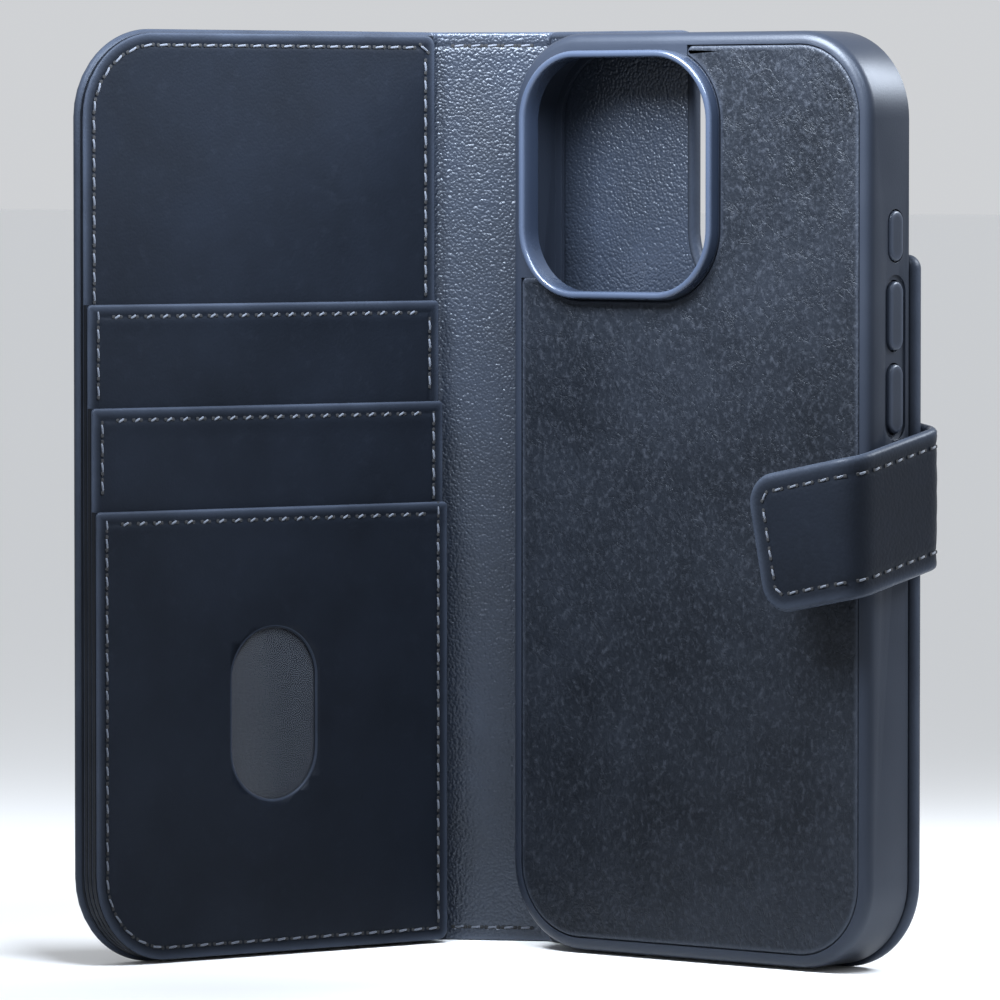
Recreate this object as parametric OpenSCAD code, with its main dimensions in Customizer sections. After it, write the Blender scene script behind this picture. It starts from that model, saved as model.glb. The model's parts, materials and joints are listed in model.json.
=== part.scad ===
// Folding wallet case with a detachable phone shell, standing upright as an open book.
// Two covers fold about a soft spine. The shell stands against the rear cover with its back facing out.
// Millimetres. +Z is up, and Z = 0 is the floor. The rear cover lies in X and Z, its inner face towards -Y.
// The origin is on the rear cover's bottom edge.

/* [Phone and cards] */
// Width of the phone the shell holds
phone_width = 77.6; // [62:0.1:95]
// Height of the phone
phone_height = 163; // [140:0.1:200]
// Thickness of the phone
phone_thickness = 8.25; // [6.5:0.05:10]
// Width of a payment card, held upright
card_width = 54; // [50:0.1:58]
// Height of a payment card held upright
card_height = 85.6; // [80:0.1:90]
// Thickness of a payment card
card_thickness = 0.76; // [0.6:0.02:1]

/* [Phone shell] */
// Side wall of the shell
shell_wall = 1.8; // [1.5:0.1:2.4]
// Back wall of the shell under the leather inlay
shell_back = 1.2; // [1:0.1:1.6]
// Outer corner radius of the shell
shell_corner = 15.6; // [12:0.1:19]
// How far the lip reaches over the phone's screen
lip_reach = 1.4; // [1:0.1:1.8]
// Width of the bare rim around the leather inlay
inlay_rim = 2.3; // [1.8:0.1:3]
// Thickness of the leather inlay
inlay_thickness = 0.6; // [0.5:0.05:0.8]
// Width of the camera opening
camera_width = 41.6; // [32:0.1:44]
// Height of the camera opening
camera_height = 42.2; // [34:0.1:44]
// Corner radius of the camera opening
camera_corner = 11.5; // [8:0.1:14]
// Wall of the raised ring around the camera opening
ring_wall = 1.4; // [1:0.1:1.8]
// How far the ring stands out from the back
ring_height = 2.4; // [1.4:0.1:2.6]
// Pitch between the bottoms of the two volume buttons
volume_pitch = 14.7; // [13.8:0.1:18]
// Length of each volume button
volume_length = 12.2; // [10:0.1:13]

/* [Covers and spine] */
// Corner radius at the free edges of both covers
cover_corner = 16; // [12:0.1:20]
// Thickness of the outer leather
skin = 0.8; // [0.6:0.05:1]
// Thickness of the rear cover
rear_thickness = 3; // [2.6:0.1:3.6]
// How much shorter the front cover is than the rear one at its free edge
front_shortfall = 4.8; // [2:0.1:8]
// How far the spine is folded up from flat
spine_rest = 29; // [0:1:85]
// How far the front cover is folded up from the spine
front_rest = 46.5; // [0:0.5:88]

/* [Card pockets] */
// Top of the lowest card panel
lowest_panel_top = 81.6; // [70:0.1:86]
// Step from one card panel's top to the next
panel_step = 18.5; // [14:0.1:22]
// How much of a card shows above its panel
card_reveal = 11; // [6:0.5:16]
// Width of the clear window
window_width = 18.6; // [14:0.1:24]
// Height of the clear window
window_height = 31.5; // [24:0.1:40]

/* [Strap] */
// Width of the strap
strap_width = 24.8; // [18:0.1:30]
// Thickness of the strap
strap_thickness = 1.7; // [1.5:0.1:2]
// Slant of the strap as it wraps around
strap_slant = 11; // [0:1:15]
// Length of the tab that lies on the front
tab_length = 21; // [18:0.5:25]
// Height of the strap's middle at the tab's fold
strap_level = 80; // [65:1:95]

/* [Hidden] */
$fn = 64;
sliver = 0.5;                       // how far a cutter runs past a face

// Fits and clearances
phone_fit = 0.1;                    // around the phone on each side
phone_depth_fit = 0.15;             // in front of the phone's screen
shell_gap = 0.3;                    // shell to rear lining
closed_gap = 0.5;                   // card pockets to shell when the book is shut
crease_gap = 0.4;                   // soft crease to the panel beside it
clasp_gap = 0.4;                    // strap tab to the shut front cover
button_fit = 0.3;                   // around each button
card_fit = 0.09;                    // in front of a card
card_side_fit = 2;                  // on each side of a card
ring_fit = 0.9;                     // rear cover's notch around the camera ring
seat_step = 0.1;                    // small step that lets stacked parts sit without binding

// Shell levels along Y, from its open side at the rear cover to its back
lip_depth = 1;
liner = 0.3;
inlay_pocket = inlay_thickness + seat_step;
shell_open_y = -shell_gap;
cavity_front_y = shell_open_y - lip_depth;
cavity_back_y = cavity_front_y - phone_thickness - phone_depth_fit;
wall_inner_y = cavity_back_y - liner;
wall_outer_y = wall_inner_y - shell_back;
shell_face_y = wall_outer_y - inlay_pocket;
ring_top_y = shell_face_y - ring_height;
plate_thickness = 0.4;

// Shell outline in X and Z
shell_left = 1.7;
shell_width = phone_width + 2 * (phone_fit + shell_wall);
shell_height = phone_height + 2 * (phone_fit + shell_wall);
shell_right = shell_left + shell_width;
shell_middle = (shell_left + shell_right) / 2;
cover_margin_z = 0.6;
shell_low = cover_margin_z;
shell_high = shell_low + shell_height;
edge_round = 1.7;
inlay_step = 2.3;                   // inlay's left step above the camera opening's lower edge

// Camera opening, near the shell's top left corner
camera_margin_x = 4.7;
camera_margin_z = 4.5;
camera_left = shell_left + camera_margin_x;
camera_right = camera_left + camera_width;
camera_high = shell_high - camera_margin_z;
camera_low = camera_high - camera_height;

// Rear cover. The notch suits the shell turned the other way round, so it mirrors the camera ring.
axis_x = -1;
crease = 0.8;                       // radius of the soft crease at each fold
axis_y = rear_thickness - crease;
setback = crease + crease_gap;
rear_near = axis_x + setback;
cover_margin_x = 0.9;
rear_far = shell_right + cover_margin_x;
cover_height = shell_height + 2 * cover_margin_z;
turned_edge = 1.2;                  // width of the leather turned in along each edge
lining = 0.5;
notch_left = 2 * shell_middle - camera_right - ring_wall - ring_fit;
notch_right = 2 * shell_middle - camera_left + ring_wall + ring_fit;
notch_low = camera_low - ring_wall - ring_fit;
notch_corner = camera_corner + ring_wall + ring_fit;
notch_tip = notch_low + 8.6;
tip_round = 1.9;
notch_round = 4;

// Front cover layers, from the outer face inwards
front_board_thickness = 1;
front_lining_thickness = 0.4;
cash_gap = 0.45;
base_panel = 0.45;
slot_panel = 0.4;
film = 0.15;
card_gap = card_thickness + card_fit;
film_gap = card_gap + film;
cash_back = crease - skin - front_board_thickness - front_lining_thickness;
base_back = cash_back - cash_gap;
slot_back_1 = base_back - base_panel;
panel_back_1 = slot_back_1 - card_gap;
slot_back_2 = panel_back_1 - slot_panel;
panel_back_2 = slot_back_2 - card_gap;
slot_back_3 = panel_back_2 - slot_panel;
panel_back_3 = slot_back_3 - film_gap;
front_inner = panel_back_3 - slot_panel;

// Shutting the book brings the front cover parallel to the rear one, clear of the shell
shut_front_y = shell_face_y - closed_gap - (crease - front_inner);
spine_width = axis_y - crease - shut_front_y;
spine_stiffener_thickness = 0.35;
spine_lining_thickness = 0.35;

// Front cover outline, measured from the front fold
front_far = rear_far - axis_x - front_shortfall;
panel_near = setback + 1;
panel_far = front_far - 0.6;
panel_low = 0.7;
pocket_middle = 43;
pocket_half = card_width / 2 + card_side_fit;
window_middle = 41.2;
window_low = 28.4;
seam_strip = 2;

// Strap
strap_axis_x = rear_far + 2.4;
strap_axis_y = rear_thickness + strap_thickness / 2;
tab_axis_y = shut_front_y - clasp_gap - strap_thickness / 2;
strap_bead = strap_thickness / 2 - 0.02;
strap_end = strap_axis_x - strap_bead - crease_gap;
anchor_length = 24;
strap_half = strap_width / 2 / cos(strap_slant);
anchor_level = strap_level + (strap_axis_y - tab_axis_y) * tan(strap_slant);
strap_lining = 0.5;
strap_end_round = 5.5;
tab_magnet = [9, 14, 0.7];
tab_magnet_reach = 14.5;

// Buttons
button_width = 4;
button_proud = 0.4;
button_y = cavity_front_y - 3;
flange = 0.45;
flange_reach = 0.6;
flange_stop = 0.95;                 // from the wall's inner face to the shoulder that holds a button in
recess = 0.35;
volume_low = shell_low + 95.5;
action_low = volume_low + volume_pitch + volume_length + 3.6;
action_length = 8.9;
power_low = shell_low + 99;
power_length = 17;

// Ports in the shell's lower wall
port_y = (cavity_front_y + cavity_back_y) / 2;
port_size = [13, 5.4];
grille_size = [16, 2.4];
grille_offset = 21;

// Magnets inside the rear cover, facing the shell's steel plate
magnet_radius = 4.5;
magnet_thickness = 1;
magnet_columns = [-22, 0, 22];
magnet_rows = [25, 60, 95];
plate_size = [62, 98];
plate_low = 11;

// The row's origin on the rear cover's bottom edge
origin_x = (rear_near + rear_far) / 2;
origin_y = rear_thickness / 2;

leather = [0.12, 0.15, 0.2];
lining_colour = [0.17, 0.21, 0.28];
board_colour = [0.55, 0.52, 0.46];
metal = [0.7, 0.71, 0.73];
shell_colour = [0.15, 0.18, 0.24];

// ---- Frames ----

// Rear cover and shell: X along the cover, inner side towards -Y
module rear_frame() translate([-origin_x, -origin_y, 0]) children();

// Spine, with its rear fold on the local Z axis and its outer face on the +Y side
module spine_frame() rear_frame() translate([axis_x, axis_y, 0]) rotate([0, 0, spine_rest]) children();

// Front cover, with its fold on the local Z axis; the cover runs towards -X
module front_frame() spine_frame() translate([-spine_width, 0, 0]) rotate([0, 0, front_rest]) children();

// ---- Drawing helpers ----

// A plate drawn in X and Z that fills Y from back to front
module plate(back, front)
    translate([0, back, 0]) rotate([90, 0, 0]) linear_extrude(height = back - front) children();

// A plate drawn in Y and Z that fills X from left to right
module side_plate(left, right)
    translate([left, 0, 0]) rotate([90, 0, 90]) linear_extrude(height = right - left) children();

// A rectangle with four round corners
module rounded_rect(left, right, low, high, r) {
    translate([left + r, low]) square([right - left - 2 * r, high - low]);
    translate([left, low + r]) square([right - left, high - low - 2 * r]);
    for (x = [left + r, right - r], z = [low + r, high - r])
        translate([x, z]) circle(r);
}

// A cover panel: square at the fold, round at its free edge, drawn towards +X
module book_panel(near, far, low, high, r) {
    rounded_rect(near, far, low, high, r);
    translate([near, low]) square([far - near - r, high - low]);
}

// The same for the front cover, which runs towards -X
module front_panel(near, far, low, high, r) mirror([1, 0]) book_panel(near, far, low, high, r);

// The waste outside a convex round corner whose centre is at the local origin
module corner_waste(r) difference() {
    square([r + sliver, r + sliver]);
    circle(r);
}

// A slot with round ends, standing upright
module stadium(middle, low, high, width) {
    translate([middle - width / 2, low + width / 2]) square([width, high - low - width]);
    for (z = [low + width / 2, high - width / 2])
        translate([middle, z]) circle(width / 2);
}

// ---- Rear cover ----

// Room for the camera, open at the cover's top right corner
module camera_notch(grow) {
    rounded_rect(notch_left - grow, notch_right + grow, notch_low - grow,
                 cover_height + 2 * notch_corner, notch_corner + grow);
    translate([shell_middle + camera_width / 2, notch_tip - grow])
        square([rear_far, cover_height]);
}

module rear_outline(inset) difference() {
    book_panel(rear_near + inset, rear_far - inset, inset, cover_height - inset, cover_corner - inset);
    camera_notch(inset);
    if (inset == 0) {
        translate([rear_far - tip_round, notch_tip - tip_round]) corner_waste(tip_round);
        translate([notch_left - notch_round, cover_height - notch_round]) corner_waste(notch_round);
    }
}

module rear_outer_skin() color(leather) rear_frame() {
    difference() {
        plate(rear_thickness, lining) rear_outline(0);
        plate(rear_thickness - skin, lining - sliver) rear_outline(turned_edge);
    }
}

// Centres of the magnets, in X and Z
module at_magnets() for (x = magnet_columns, z = magnet_rows)
    translate([shell_middle + x, lining, shell_low + z]) rotate([-90, 0, 0]) children();

module rear_board() color(board_colour) rear_frame() difference() {
    plate(rear_thickness - skin, lining) rear_outline(turned_edge);
    at_magnets() translate([0, 0, -sliver]) cylinder(r = magnet_radius, h = magnet_thickness + sliver);
}

module rear_magnets() color(metal) rear_frame()
    at_magnets() cylinder(r = magnet_radius, h = magnet_thickness);

module rear_lining() color(lining_colour) rear_frame() plate(lining, 0) rear_outline(0);

// The strap's fixed end, sewn to the rear cover's outer face
module strap_anchor() color(leather) rear_frame()
    plate(rear_thickness + strap_thickness, rear_thickness) intersection() {
        translate([strap_axis_x, anchor_level]) rotate(-strap_slant)
            rounded_rect(-anchor_length, strap_width, -strap_width / 2, strap_width / 2, strap_end_round);
        translate([strap_end - 2 * anchor_length, 0]) square([2 * anchor_length, cover_height]);
    }

// ---- Spine ----

// The outer leather between the two folds, with a soft crease along each
module spine_skin() color(leather) spine_frame() linear_extrude(height = cover_height) {
    translate([-spine_width, crease - skin]) square([spine_width, skin]);
    for (x = [0, -spine_width])
        translate([x, 0]) circle(crease - 0.02);
}

// A flat strip of the spine between its creases
module spine_strip(outer, inner, low, high)
    translate([-spine_width + setback, inner, low])
        cube([spine_width - 2 * setback, outer - inner, high - low]);

module spine_stiffener() color(board_colour) spine_frame()
    spine_strip(crease - skin, crease - skin - spine_stiffener_thickness, 2, cover_height - 2);

module spine_lining() color(lining_colour) spine_frame() {
    inner = crease - skin - spine_stiffener_thickness - spine_lining_thickness;
    spine_strip(crease - skin - spine_stiffener_thickness, inner, 0, cover_height);
}

// ---- Front cover ----

module front_outer_skin() color(leather) front_frame() difference() {
    plate(crease, cash_back + front_lining_thickness)
        front_panel(setback, front_far, 0, cover_height, cover_corner);
    plate(crease - skin, cash_back)
        front_panel(setback + turned_edge, front_far - turned_edge, turned_edge,
                    cover_height - turned_edge, cover_corner - turned_edge);
}

// Where the tab's magnet lands on the front cover when the book is shut
clasp_x = min(strap_axis_x - tab_magnet_reach * cos(strap_slant) - axis_x,
              front_far - turned_edge - tab_magnet[0]);
clasp_z = strap_level - tab_magnet_reach * sin(strap_slant);

module front_board() color(board_colour) front_frame() difference() {
    plate(crease - skin, cash_back + front_lining_thickness)
        front_panel(setback + turned_edge, front_far - turned_edge, turned_edge,
                    cover_height - turned_edge, cover_corner - turned_edge);
    translate([-clasp_x - tab_magnet[0] / 2, crease - skin - tab_magnet[2], clasp_z - tab_magnet[1] / 2])
        cube([tab_magnet[0], tab_magnet[2] + sliver, tab_magnet[1]]);
}

module clasp_magnet() color(metal) front_frame()
    translate([-clasp_x - tab_magnet[0] / 2, crease - skin - tab_magnet[2], clasp_z - tab_magnet[1] / 2])
        cube([tab_magnet[0], tab_magnet[2], tab_magnet[1]]);

module front_lining() color(lining_colour) front_frame()
    plate(cash_back + front_lining_thickness, cash_back)
        front_panel(setback, front_far, 0, cover_height, cover_corner);

// The outline that all the pocket panels share, up to a given height
module pocket_outline(high, grow) {
    difference() {
        front_panel(panel_near, panel_far + grow, panel_low - grow, cover_height - panel_low + grow,
                    cover_corner - panel_low + grow);
        translate([-2 * front_far, high]) square([4 * front_far, cover_height]);
    }
}

// The cash pocket is closed along the top, the free edge and the bottom, and open towards the spine
module cash_pocket_seam() color(leather) front_frame()
    plate(cash_back, base_back) difference() {
        pocket_outline(cover_height, 0);
        front_panel(panel_near - seam_strip, panel_far - seam_strip, panel_low + seam_strip,
                    cover_height - panel_low - seam_strip, cover_corner - panel_low - seam_strip);
    }

module pocket_base_panel() color(leather) front_frame()
    plate(base_back, slot_back_1) pocket_outline(cover_height, 0);

// The strips beside and below a card, which close a card slot on three sides
module slot_seam(back, front, top, floor)
    plate(back, front) difference() {
        pocket_outline(top, 0);
        translate([-pocket_middle - pocket_half, floor])
            square([2 * pocket_half, cover_height]);
    }

module slot_seam_1() color(leather) front_frame()
    slot_seam(slot_back_1, panel_back_1, lowest_panel_top + 2 * panel_step,
              lowest_panel_top + 2 * panel_step + card_reveal - card_height);

module slot_seam_2() color(leather) front_frame()
    slot_seam(slot_back_2, panel_back_2, lowest_panel_top + panel_step,
              lowest_panel_top + panel_step + card_reveal - card_height);

module slot_seam_3() color(leather) front_frame()
    slot_seam(slot_back_3, panel_back_3, lowest_panel_top, panel_low + seam_strip);

module slot_panel_1() color(leather) front_frame()
    plate(panel_back_1, slot_back_2) pocket_outline(lowest_panel_top + 2 * panel_step, 0);

module slot_panel_2() color(leather) front_frame()
    plate(panel_back_2, slot_back_3) pocket_outline(lowest_panel_top + panel_step, 0);

module slot_panel_3() color(leather) front_frame() difference() {
    plate(panel_back_3, front_inner) pocket_outline(lowest_panel_top, 0);
    plate(panel_back_3 + sliver, front_inner - sliver)
        stadium(-window_middle, window_low, window_low + window_height, window_width);
}

// A clear sheet bonded behind the window
module window_film() color([0.8, 0.85, 0.9, 0.35]) front_frame()
    plate(panel_back_3 + film, panel_back_3)
        stadium(-window_middle, window_low - seam_strip, window_low + window_height + seam_strip,
                window_width + 2 * seam_strip);

// ---- Strap ----

// The part that runs forward past the shell's side, with a soft crease at each end
module strap_arm() color(leather) rear_frame() {
    side_plate(strap_axis_x - strap_thickness / 2 + strap_lining, strap_axis_x + strap_thickness / 2)
        polygon([[strap_axis_y, anchor_level - strap_half], [strap_axis_y, anchor_level + strap_half],
                 [tab_axis_y, strap_level + strap_half], [tab_axis_y, strap_level - strap_half]]);
    translate([strap_axis_x, strap_axis_y, anchor_level - strap_half])
        cylinder(r = strap_bead, h = 2 * strap_half);
    translate([strap_axis_x, tab_axis_y, strap_level - strap_half])
        cylinder(r = strap_bead, h = 2 * strap_half);
}

module strap_arm_lining() color(lining_colour) rear_frame() {
    inset = strap_thickness / 2 + seat_step;
    drop = inset * tan(strap_slant);
    side_plate(strap_axis_x - strap_thickness / 2, strap_axis_x - strap_thickness / 2 + strap_lining)
        polygon([[strap_axis_y - inset, anchor_level - drop - strap_half],
                 [strap_axis_y - inset, anchor_level - drop + strap_half],
                 [tab_axis_y + inset, strap_level + drop + strap_half],
                 [tab_axis_y + inset, strap_level + drop - strap_half]]);
}

// The tab's outline on the front, with round outer corners
module tab_outline() intersection() {
    translate([strap_axis_x, strap_level]) rotate(strap_slant)
        rounded_rect(-tab_length, strap_width, -strap_width / 2, strap_width / 2, strap_end_round);
    translate([strap_end - 2 * tab_length, 0]) square([2 * tab_length, cover_height]);
}

tab_outer_y = tab_axis_y - strap_thickness / 2;
tab_inner_y = tab_axis_y + strap_thickness / 2;

module tab_magnet_block(extra)
    translate([strap_axis_x, 0, strap_level]) rotate([0, -strap_slant, 0])
        translate([-tab_magnet_reach - tab_magnet[0] / 2, tab_inner_y - strap_lining - tab_magnet[2],
                   -tab_magnet[1] / 2])
            cube([tab_magnet[0], tab_magnet[2] + extra, tab_magnet[1]]);

module strap_tab() color(leather) rear_frame() difference() {
    plate(tab_inner_y - strap_lining, tab_outer_y) tab_outline();
    tab_magnet_block(sliver);
}

module strap_tab_lining() color(lining_colour) rear_frame()
    plate(tab_inner_y, tab_inner_y - strap_lining) tab_outline();

module strap_magnet() color(metal) rear_frame() tab_magnet_block(0);

// ---- Phone shell ----

// The shell's outline, drawn smaller by a given amount
module shell_outline(inset)
    rounded_rect(shell_left + inset, shell_right - inset, shell_low + inset, shell_high - inset,
                 shell_corner - inset);

// The camera opening, drawn larger by a given amount
module camera_outline(grow)
    rounded_rect(camera_left - grow, camera_right + grow, camera_low - grow, camera_high + grow,
                 camera_corner + grow);

// The leather inlay covers the back except for the corner that holds the camera ring
module inlay_outline(inset) difference() {
    shell_outline(inlay_rim + inset);
    camera_outline(ring_wall + seat_step + inset);
    translate([0, camera_low + inset + inlay_step])
        square([camera_left + ring_wall + camera_corner / 2, cover_height]);
    translate([0, camera_high - camera_corner / 2])
        square([camera_left + camera_width - camera_corner / 2, cover_height]);
}

// The shell's solid body, with its back edge rounded off
module shell_blank() hull() {
    plate(shell_open_y, shell_face_y + edge_round) shell_outline(0);
    plate(shell_open_y, shell_face_y + edge_round * 0.5) shell_outline(edge_round * 0.14);
    plate(shell_open_y, shell_face_y + edge_round * 0.14) shell_outline(edge_round * 0.5);
    plate(shell_open_y, shell_face_y) shell_outline(edge_round);
}

// Puts something drawn at the shell's right side on the side asked for
module at_side(side) {
    if (side > 0) children();
    else translate([2 * shell_middle, 0, 0]) mirror([1, 0, 0]) children();
}

// Wall inner face on the right side
wall_inner_x = shell_right - shell_wall;

// The hole, the shoulder pocket and the shallow recess that one button needs
module button_cut(low, length) {
    side_plate(wall_inner_x - sliver, shell_right + sliver)
        stadium(button_y, low - button_fit, low + length + button_fit, button_width + 2 * button_fit);
    side_plate(wall_inner_x - sliver, wall_inner_x + flange_stop)
        stadium(button_y, low - button_fit - flange_reach, low + length + button_fit + flange_reach,
                button_width + 2 * (button_fit + flange_reach));
}

// A button with its outer cap and the flange that keeps it in the wall
module button(low, length) {
    shoulder = wall_inner_x + flange_stop - seat_step;
    side_plate(shoulder - flange, shell_right + button_proud)
        stadium(button_y, low, low + length, button_width);
    side_plate(shoulder - flange, shoulder)
        stadium(button_y, low - flange_reach, low + length + flange_reach, button_width + 2 * flange_reach);
}

module shell_frame() color(shell_colour) rear_frame() difference() {
    shell_blank();
    plate(shell_open_y + sliver, cavity_front_y - sliver) shell_outline(shell_wall + lip_reach);
    plate(cavity_front_y, wall_inner_y) shell_outline(shell_wall);
    plate(wall_outer_y, shell_face_y - sliver) inlay_outline(0);
    plate(wall_inner_y + sliver, shell_face_y - sliver) camera_outline(ring_wall);
    translate([shell_middle - plate_size[0] / 2, wall_outer_y - sliver, plate_low])
        cube([plate_size[0], plate_thickness + sliver, plate_size[1]]);
    button_cut(action_low, action_length);
    button_cut(volume_low, volume_length);
    button_cut(volume_low + volume_pitch, volume_length);
    at_side(-1) button_cut(power_low, power_length);
    side_plate(shell_right - recess, shell_right + sliver)
        stadium(button_y, volume_low - 1.2, volume_low + volume_pitch + volume_length + 1.2, button_width + 2);
    translate([shell_middle - port_size[0] / 2, port_y - port_size[1] / 2, shell_low - sliver])
        cube([port_size[0], port_size[1], shell_wall + 2 * sliver]);
    for (x = [-grille_offset, grille_offset])
        translate([shell_middle + x - grille_size[0] / 2, port_y - grille_size[1] / 2, shell_low - sliver])
            cube([grille_size[0], grille_size[1], shell_wall + 2 * sliver]);
}

// Soft lining between the shell's back wall and the phone
module shell_liner() color(lining_colour) rear_frame()
    plate(cavity_back_y, wall_inner_y) difference() {
        shell_outline(shell_wall);
        camera_outline(ring_wall);
    }

module steel_plate() color(metal) rear_frame()
    translate([shell_middle - plate_size[0] / 2, wall_outer_y, plate_low])
        cube([plate_size[0], plate_thickness, plate_size[1]]);

module leather_inlay() color(leather) rear_frame()
    plate(wall_outer_y, wall_outer_y - inlay_thickness) inlay_outline(0.2);

module camera_ring() color(shell_colour) rear_frame()
    plate(wall_inner_y, ring_top_y) difference() {
        camera_outline(ring_wall);
        camera_outline(0);
    }

module action_button() color(shell_colour) rear_frame() button(action_low, action_length);

module volume_up_button() color(shell_colour) rear_frame() button(volume_low + volume_pitch, volume_length);

module volume_down_button() color(shell_colour) rear_frame() button(volume_low, volume_length);

module power_button() color(shell_colour) rear_frame() at_side(-1) button(power_low, power_length);

rear_outer_skin();
rear_board();
rear_magnets();
rear_lining();
strap_anchor();
spine_skin();
spine_stiffener();
spine_lining();
front_outer_skin();
front_board();
clasp_magnet();
front_lining();
cash_pocket_seam();
pocket_base_panel();
slot_seam_1();
slot_panel_1();
slot_seam_2();
slot_panel_2();
slot_seam_3();
slot_panel_3();
window_film();
strap_arm();
strap_arm_lining();
strap_tab();
strap_tab_lining();
strap_magnet();
shell_frame();
shell_liner();
steel_plate();
leather_inlay();
camera_ring();
action_button();
volume_up_button();
volume_down_button();
power_button();
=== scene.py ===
"""A folding wallet case in navy leather, standing open, with its phone shell against the rear cover."""

import json
import math

import bmesh
import bpy
import numpy as np
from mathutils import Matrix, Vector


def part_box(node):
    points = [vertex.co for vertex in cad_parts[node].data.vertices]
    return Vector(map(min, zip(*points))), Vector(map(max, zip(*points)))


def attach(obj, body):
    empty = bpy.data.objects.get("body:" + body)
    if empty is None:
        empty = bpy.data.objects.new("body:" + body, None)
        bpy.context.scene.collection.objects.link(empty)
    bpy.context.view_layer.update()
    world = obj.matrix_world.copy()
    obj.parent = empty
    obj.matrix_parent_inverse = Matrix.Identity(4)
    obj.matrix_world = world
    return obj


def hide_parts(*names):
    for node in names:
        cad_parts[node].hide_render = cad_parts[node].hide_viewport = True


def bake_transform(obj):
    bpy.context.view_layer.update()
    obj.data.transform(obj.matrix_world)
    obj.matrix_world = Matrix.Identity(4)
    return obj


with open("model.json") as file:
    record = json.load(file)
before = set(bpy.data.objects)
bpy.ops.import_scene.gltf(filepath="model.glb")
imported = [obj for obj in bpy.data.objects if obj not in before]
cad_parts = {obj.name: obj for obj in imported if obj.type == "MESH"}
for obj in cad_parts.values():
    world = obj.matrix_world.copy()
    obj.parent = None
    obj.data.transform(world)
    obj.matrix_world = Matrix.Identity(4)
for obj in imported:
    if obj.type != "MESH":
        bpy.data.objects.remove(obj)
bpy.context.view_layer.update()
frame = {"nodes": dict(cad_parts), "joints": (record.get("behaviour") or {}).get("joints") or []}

# ---- Studio ----
# A pale floor under a pale sky, and a long-lens camera near the top of the case that looks slightly down.
# Two soft boxes hang close above the covers, so that the leather darkens towards its foot, and a third
# lights the shell's side.

MM = 0.001

CAMERA_PLACE = (0.855427, -1.115463, 0.144833)
CAMERA_DOWN = 0.044
CAMERA_TURN = 0.684
FLOOR_SIZE = 30.0
FLOOR_COLOUR = (0.93, 0.94, 0.95, 1)
SKY_COLOUR = (0.95, 0.97, 1.0, 1)
SKY_STRENGTH = 0.66

camera_data = bpy.data.cameras.new("camera")
camera_data.sensor_width = 36
camera_data.lens = 279.67
camera_data.clip_end = 100
camera = bpy.data.objects.new("camera", camera_data)
camera.location = CAMERA_PLACE
camera.rotation_euler = (math.pi / 2 - CAMERA_DOWN, 0, CAMERA_TURN)
bpy.context.scene.collection.objects.link(camera)
bpy.context.scene.camera = camera
bpy.context.scene.view_settings.view_transform = "Standard"


def node(tree, kind, inputs=None, **settings):
    """Adds a shader node. An input that is given a socket is linked to it, and any other is set."""
    made = tree.nodes.new("ShaderNode" + kind)
    for key, value in settings.items():
        setattr(made, key, value)
    for key, value in (inputs or {}).items():
        if isinstance(value, bpy.types.NodeSocket):
            tree.links.new(value, made.inputs[key])
        else:
            made.inputs[key].default_value = value
    return made


def new_material(name):
    """An empty material with its Principled shader wired up. Returns the material, tree and shader."""
    made = bpy.data.materials.new(name)
    made.use_nodes = True
    tree = made.node_tree
    tree.nodes.clear()
    shader = node(tree, "BsdfPrincipled")
    node(tree, "OutputMaterial", {"Surface": shader.outputs[0]})
    return made, tree, shader


def softbox(name, place, target, size, power, colour, spread):
    """A square area light that faces a target point, narrowed to a beam of spread degrees."""
    light = bpy.data.lights.new(name, "AREA")
    light.size = size
    light.energy = power
    light.color = colour
    light.spread = math.radians(spread)
    lamp = bpy.data.objects.new(name, light)
    lamp.location = place
    lamp.visible_camera = False
    aim = Vector(target) - Vector(place)
    lamp.rotation_euler = aim.to_track_quat("-Z", "Y").to_euler()
    bpy.context.scene.collection.objects.link(lamp)


floor_mesh = bpy.data.meshes.new("floor")
half = FLOOR_SIZE / 2
floor_corners = [(-half, -half, 0), (half, -half, 0), (half, half, 0), (-half, half, 0)]
floor_mesh.from_pydata(floor_corners, [], [(0, 1, 2, 3)])
floor = bpy.data.objects.new("floor", floor_mesh)
floor_material, _, floor_shader = new_material("pale_floor")
floor_shader.inputs["Base Color"].default_value = FLOOR_COLOUR
floor_shader.inputs["Roughness"].default_value = 0.8
floor_mesh.materials.append(floor_material)
bpy.context.scene.collection.objects.link(floor)

world = bpy.data.worlds.new("studio")
world.use_nodes = True
background = world.node_tree.nodes["Background"]
background.inputs["Color"].default_value = SKY_COLOUR
background.inputs["Strength"].default_value = SKY_STRENGTH
bpy.context.scene.world = world

softbox("high_right", (0.05, -0.11, 0.28), (-0.07, -0.05, 0.16), 0.12, 0.42, (0.84, 0.91, 1), 76)
softbox("high_left", (-0.03, -0.15, 0.29), (0.02, -0.01, 0.17), 0.12, 0.70, (0.88, 0.93, 1), 70)
softbox("side", (0.24, 0.30, 0.40), (0.04, 0, 0.17), 0.2, 1.1, (0.86, 0.92, 1), 80)

# ---- Leather ----
# Smooth navy cowhide, dyed through, with a fine pore grain and slow changes of tone. The raised edges are
# painted a little lighter, partly as burnish from handling and partly as a painted highlight along the rolled
# edges. The lining has a deeper, pebbled grain and a glossier finish.

NAVY_DARK = (0.0040, 0.0053, 0.0082, 1)
NAVY_LIGHT = (0.0064, 0.0084, 0.0130, 1)
# Edge colour: burnish wear plus a painted highlight along the rounded edges.
NAVY_WORN_AND_LIT = (0.032, 0.040, 0.058, 1)
BLUE_TINT = (0.80, 0.88, 1.0, 1)


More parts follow.
